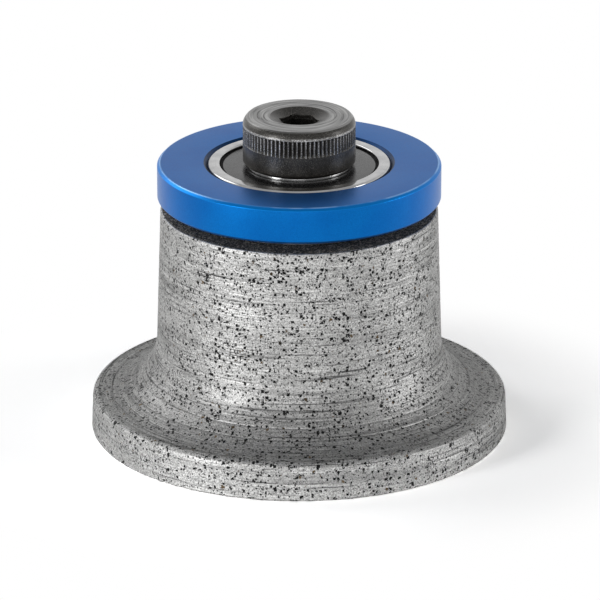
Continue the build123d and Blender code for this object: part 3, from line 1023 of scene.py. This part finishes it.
def head_shoulder():
    """The round at the head's top: an arc that leaves the side smoothly and ends at a crisp edge."""
    width, height = HEAD_SHOULDER_WIDTH, HEAD_SHOULDER_HEIGHT
    radius = (width**2 + height**2) / (2 * width)
    centre = (HEAD_RADIUS - radius, KNURL_TOP)
    return arc(centre, radius, 0.0, math.asin(height / radius), HEAD_SHOULDER_STEPS)


def head_outside(angles):
    """The head from its underside up its knurled side and over its flat to the socket's mouth."""
    levels = np.linspace(KNURL_TOP - KNURL_LENGTH, KNURL_TOP, KNURL_RINGS, endpoint=False)
    outline = rounded(
        [
            (HEAD_RADIUS - HEAD_FOOT_CHAMFER, BEARING_TOP, HEAD_FOOT_ROUND),
            (HEAD_RADIUS, BEARING_TOP + HEAD_FOOT_CHAMFER, HEAD_SIDE_ROUND),
            *[(HEAD_RADIUS, level) for level in levels],
            *head_shoulder(),
            (SOCKET_MOUTH_RADIUS, HEAD_TOP, SOCKET_MOUTH_ROUND),
            (0.0, HEAD_TOP - SOCKET_MOUTH_RADIUS * math.tan(SOCKET_MOUTH_SLOPE)),
            (0.0, BEARING_TOP),
        ]
    )[:-2]
    return [(r - knurled(angles, z), z) for r, z in divided(outline, HEAD_STEP)]


def socket(angles):
    """The socket from its mouth down its hexagon wall to the point of its drilled end."""
    wall = socket_radius(angles)
    slope = math.tan(SOCKET_MOUTH_SLOPE)
    edge = HEAD_TOP - (SOCKET_MOUTH_RADIUS - wall) * slope
    floor_z = HEAD_TOP - SOCKET_DEPTH
    drill = SOCKET_WIDTH / 2
    point = math.tan(DRILL_POINT)
    mouth = [SOCKET_MOUTH_RADIUS + (wall - SOCKET_MOUTH_RADIUS) * share for share in MOUTH_SHARES]
    return [
        *[(r, HEAD_TOP - (SOCKET_MOUTH_RADIUS - r) * slope) for r in mouth],
        (wall, edge - SOCKET_CORNER),
        *[(wall, edge + (floor_z - edge) * share) for share in WALL_SHARES],
        (wall - SOCKET_CORNER, floor_z),
        (drill, floor_z),
        *[(drill * share, floor_z - drill * (1 - share) / point) for share in POINT_SHARES],
        (0.0, floor_z - drill / point),
    ]


def screw_shank(angles):
    """Thread, neck and shoulder, as rings from the point up to the head."""
    rings = [(0.0, SCREW_END)]
    depth = BOLT_THREAD_SHARE * SCREW_PITCH
    thread_top = SHOULDER_BOTTOM - SCREW_NECK_LENGTH
    for z in np.arange(SCREW_END, thread_top, THREAD_STEP):
        wall = SCREW_RADIUS - depth * (1 - thread_reach(angles, z, SCREW_PITCH))
        point = SCREW_THREAD_RADIUS - SCREW_END_CHAMFER + (z - SCREW_END)
        rings.append((np.minimum(wall, point), z))
    rings += rounded(
        [
            (SCREW_NECK_RADIUS, thread_top),
            (SCREW_NECK_RADIUS, SHOULDER_BOTTOM, SCREW_NECK_ROUND),
            (SHOULDER_RADIUS - SHOULDER_CHAMFER, SHOULDER_BOTTOM, SHOULDER_END_ROUND),
            (SHOULDER_RADIUS, SHOULDER_BOTTOM + SHOULDER_CHAMFER, SHOULDER_SIDE_ROUND),
            (SHOULDER_RADIUS, BEARING_TOP),
        ]
    )
    return rings


def shoulder_screw():
    """The whole screw as one mesh: its fine head is joined to its coarser shank under the head."""
    fine = KNURL_TEETH * KNURL_SAMPLES
    coarse = fine // SHANK_SHARE
    angles = ring_angles(fine)
    head_rings = [*head_outside(angles), *socket(angles)]
    head_points, head_faces = skinned(head_rings, fine, closed=False)
    shank_points, faces = skinned(screw_shank(ring_angles(coarse)), coarse, closed=False)
    offset = len(shank_points)
    faces += [[index + offset for index in face] for face in head_faces]
    last = offset - coarse
    for index in range(coarse):
        after = (index + 1) % coarse
        edge = [offset + (index * SHANK_SHARE + step) % fine for step in range(SHANK_SHARE, -1, -1)]
        faces.append([last + index, last + after, *edge])
    points = np.concatenate([shank_points, head_points])
    mesh_piece(
        "shoulder_screw_knurled", "shoulder_screw", "wheel", "black_screw", points, faces, SCREW_SHARP_ANGLE
    )


# The bearing and the guide ring


def race(side):
    """The ball groove of a ring, from one edge of its land to the other.

    side is 1 for the inner ring, whose groove opens outwards, and -1 for the outer ring.
    """
    land = INNER_LAND_RADIUS if side > 0 else SEAL_SEAT_RADIUS - SEAL_LEDGE
    centre = BALL_CIRCLE_RADIUS + side * (RACE_RADIUS - BALL_RADIUS - BALL_CLEARANCE)
    half = math.acos(abs(land - centre) / RACE_RADIUS)
    facing = math.pi if side > 0 else 0.0
    return arc((centre, BEARING_MIDDLE), RACE_RADIUS, facing + half, facing - half, RACE_STEPS)


def bearing_inner_ring():
    corners = [
        (BEARING_BORE_RADIUS, BEARING_TOP, BEARING_CORNER),
        (BEARING_BORE_RADIUS, BEARING_BOTTOM, BEARING_CORNER),
        (INNER_LAND_RADIUS, BEARING_BOTTOM, INNER_LAND_ROUND),
        *race(1),
        (INNER_LAND_RADIUS, BEARING_TOP, INNER_LAND_ROUND),
    ]
    name = "bearing_inner_ring"
    lathe(f"{name}_ground", name, "wheel", "bearing_steel", rounded(corners), RING_SEGMENTS)


def bearing_outer_ring():
    land = SEAL_SEAT_RADIUS - SEAL_LEDGE
    groove_radius = SEAL_SEAT_RADIUS + SEAL_GROOVE_DEPTH
    upper = BEARING_TOP - SEAL_SEAT_DEPTH
    lower = BEARING_BOTTOM + SEAL_SEAT_DEPTH
    corners = [
        (BEARING_RADIUS, BEARING_BOTTOM, BEARING_CORNER),
        (BEARING_RADIUS, BEARING_TOP, BEARING_CORNER),
        (SEAL_SEAT_RADIUS, BEARING_TOP, BEARING_INNER_EDGE),
        (SEAL_SEAT_RADIUS, upper + SEAL_GROOVE_WIDTH),
        (groove_radius, upper + SEAL_GROOVE_WIDTH),
        (groove_radius, upper),
        (land, upper),
        *race(-1),
        (land, lower),
        (groove_radius, lower),
        (groove_radius, lower - SEAL_GROOVE_WIDTH),
        (SEAL_SEAT_RADIUS, lower - SEAL_GROOVE_WIDTH),
        (SEAL_SEAT_RADIUS, BEARING_BOTTOM, BEARING_INNER_EDGE),
    ]
    name = "bearing_outer_ring"
    lathe(f"{name}_ground", name, "guide", "bearing_steel", rounded(corners), RING_SEGMENTS)


def seal(name, face, up):
    """A rubber seal, with its border ring, its bead in the outer ring and its lip at the inner one."""
    lip = INNER_LAND_RADIUS + SEAL_LIP_CLEARANCE
    inside = SEAL_THICKNESS
    border = SEAL_SEAT_RADIUS - SEAL_RING_WIDTH
    land = SEAL_SEAT_RADIUS - SEAL_LEDGE
    seat = SEAL_SEAT_DEPTH - abs(BEARING_TOP - SEAL_FACE)
    bead = SEAL_SEAT_RADIUS + SEAL_GROOVE_DEPTH
    corners = [
        (lip, inside + SEAL_LIP_LENGTH),
        (lip, SEAL_LIP_WIDTH / 2, SEAL_LIP_ROUND),
        (lip + SEAL_LIP_WIDTH / 2, 0.0, SEAL_ROUND),
        (border, 0.0, SEAL_ROUND),
        (border, SEAL_RING_DROP, SEAL_RING_ROUND),
        (SEAL_SEAT_RADIUS, SEAL_RING_DROP),
        (SEAL_SEAT_RADIUS, seat - SEAL_GROOVE_WIDTH),
        (bead, seat - SEAL_GROOVE_WIDTH),
        (bead, seat),
        (land, seat),
        (land, inside),
        (lip + SEAL_LIP_WIDTH, inside),
    ]
    points = [(r, face - depth if up else face + depth) for r, depth in rounded(corners)]
    if up:
        points.reverse()
    lathe(f"{name}_moulded", name, "guide", "seal_rubber", points, RING_SEGMENTS)


def guide_ring():
    corners = [
        (BEARING_RADIUS, GUIDE_LOW.z, GUIDE_BORE_ROUND),
        (GUIDE_RADIUS - GUIDE_CHAMFER, GUIDE_LOW.z, GUIDE_FLAT_ROUND),
        (GUIDE_RADIUS, GUIDE_LOW.z + GUIDE_CHAMFER, GUIDE_SIDE_ROUND),
        (GUIDE_RADIUS, GUIDE_HIGH.z - GUIDE_CHAMFER, GUIDE_SIDE_ROUND),
        (GUIDE_RADIUS - GUIDE_CHAMFER, GUIDE_HIGH.z, GUIDE_FLAT_ROUND),
        (BEARING_RADIUS + GUIDE_MOUTH_WIDTH, GUIDE_HIGH.z, GUIDE_BORE_ROUND),
        (BEARING_RADIUS, GUIDE_HIGH.z - GUIDE_MOUTH_DEPTH, GUIDE_MOUTH_ROUND),
    ]
    name = "guide_ring"
    lathe(f"{name}_anodised", name, "guide", "blue_anodised", rounded(corners), RING_SEGMENTS)


def dress_inner_pieces():
    """Cage, rivets and balls keep their own solids and get their metals."""
    for name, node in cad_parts.items():
        if name.startswith("cage"):
            finish = MATERIALS["cage_steel"]
        elif name.startswith("ball"):
            finish = MATERIALS["ball_steel"]
        else:
            continue
        node.data.materials.clear()
        node.data.materials.append(finish)


# The studio


def softbox(name, place, width, height, power):
    """An area lamp that faces the wheel. Places and sizes are in millimetres, power in watts."""
    lamp = bpy.data.lights.new(name, "AREA")
    lamp.shape = "RECTANGLE"
    lamp.size = width * MM
    lamp.size_y = height * MM
    lamp.energy = power
    thing = bpy.data.objects.new(name, lamp)
    thing.location = Vector(place) * MM
    direction = Vector(LAMP_AIM) - Vector(place)
    thing.rotation_euler = direction.to_track_quat("-Z", "Y").to_euler()
    bpy.context.scene.collection.objects.link(thing)


def world_light():
    """A dim room with a bright backdrop behind the wheel. The camera sees it as plain white."""
    world = bpy.data.worlds.new("studio")
    bpy.context.scene.world = world
    nodes = Nodes(world)
    background = nodes.tree.nodes["Background"]
    background.inputs["Color"].default_value = (1.0, 1.0, 1.0, 1.0)
    _, y, z = nodes.split(nodes.add("ShaderNodeTexCoord").outputs["Generated"])
    low = nodes.ramp(z, CEILING_FROM, BACKDROP_TO)
    behind = nodes.ramp(y, FRONT_TO, BEHIND_FROM, FRONT_SHARE, 1.0)
    mirrored = nodes.plus(nodes.times(low, behind, BACKDROP_GLOW), CEILING_GLOW)
    path = nodes.add("ShaderNodeLightPath")
    strength = nodes.ramp(path.outputs["Is Glossy Ray"], 0.0, 1.0, ROOM_LIGHT, mirrored, smooth=False)
    strength = nodes.ramp(path.outputs["Is Camera Ray"], 0.0, 1.0, strength, 1.0, smooth=False)
    nodes.join(strength, background.inputs["Strength"])


def table_finish():
    """White that keeps the wheel's shadow near it, and is plain white further out."""
    nodes = new_finish("white_table")
    nodes.tree.nodes.remove(nodes.shader)
    paper = nodes.add("ShaderNodeBsdfDiffuse")
    paper.inputs["Color"].default_value = (TABLE_WHITE, TABLE_WHITE, TABLE_WHITE, 1.0)
    seen_paper = nodes.add("ShaderNodeBsdfDiffuse")
    seen_paper.inputs["Color"].default_value = (TABLE_SEEN_WHITE, TABLE_SEEN_WHITE, TABLE_SEEN_WHITE, 1.0)
    glow = nodes.add("ShaderNodeEmission")
    glow.inputs["Strength"].default_value = TABLE_GLOW
    near = nodes.add("ShaderNodeAddShader")
    nodes.join(seen_paper.outputs[0], near.inputs[0])
    nodes.join(glow.outputs[0], near.inputs[1])
    radius, _ = nodes.round_axis(nodes.place())
    seen = nodes.add("ShaderNodeMixShader")
    nodes.join(nodes.over(radius, SHADOW_FROM, SHADOW_TO), seen.inputs[0])
    nodes.join(near.outputs[0], seen.inputs[1])
    nodes.join(nodes.add("ShaderNodeEmission").outputs[0], seen.inputs[2])
    choice = nodes.add("ShaderNodeMixShader")
    nodes.join(nodes.seen_directly(), choice.inputs[0])
    nodes.join(paper.outputs[0], choice.inputs[1])
    nodes.join(seen.outputs[0], choice.inputs[2])
    nodes.join(choice.outputs[0], nodes.tree.nodes["Material Output"].inputs["Surface"])
    return nodes.owner


def floor():
    """A plain white table just under the wheel."""
    mesh = bpy.data.meshes.new("table")
    half = TABLE_SIZE / 2
    corners = [(-half, -half, 0), (half, -half, 0), (half, half, 0), (-half, half, 0)]
    mesh.from_pydata(corners, [], [(0, 1, 2, 3)])
    mesh.materials.append(table_finish())
    table = bpy.data.objects.new("table", mesh)
    table.location.z = -TABLE_DROP * MM
    bpy.context.scene.collection.objects.link(table)


def camera():
    view = bpy.data.cameras.new("camera")
    view.lens = CAMERA_LENS
    view.sensor_width = CAMERA_SENSOR
    view.shift_x = CAMERA_SHIFT
    view.clip_start = CAMERA_NEAR
    eye = bpy.data.objects.new("camera", view)
    eye.location = Vector((0, -CAMERA_BACK, CAMERA_HEIGHT)) * MM
    eye.rotation_euler = (math.pi / 2 - CAMERA_TILT, 0, 0)
    bpy.context.scene.collection.objects.link(eye)
    bpy.context.scene.camera = eye


def lights():
    world_light()
    for name, (place, width, height, power) in LAMPS.items():
        softbox(name, place, width, height, power)


MATERIALS = {
    "diamond_bond": diamond_bond(),
    "bond_end": bond_end(),
    "hub_steel": turned_steel("hub_steel", HUB_STEEL, 0.26, 0.4),
    "blue_anodised": blue_anodised(),
    "bearing_steel": bearing_steel(),
    "seal_rubber": seal_rubber(),
    "black_screw": black_screw(),
    "cage_steel": turned_steel("cage_steel", CAGE_STEEL, 0.3, 0.42),
    "ball_steel": turned_steel("ball_steel", BALL_STEEL, 0.05, 0.09),
}

camera()
abrasive_body()
hub_core()
shoulder_screw()
bearing_inner_ring()
bearing_outer_ring()
seal("upper_seal", SEAL_FACE, True)
seal("lower_seal", LOWER_SEAL_FACE, False)
guide_ring()
dress_inner_pieces()
lights()
floor()

bpy.context.scene.view_settings.view_transform = "Standard"
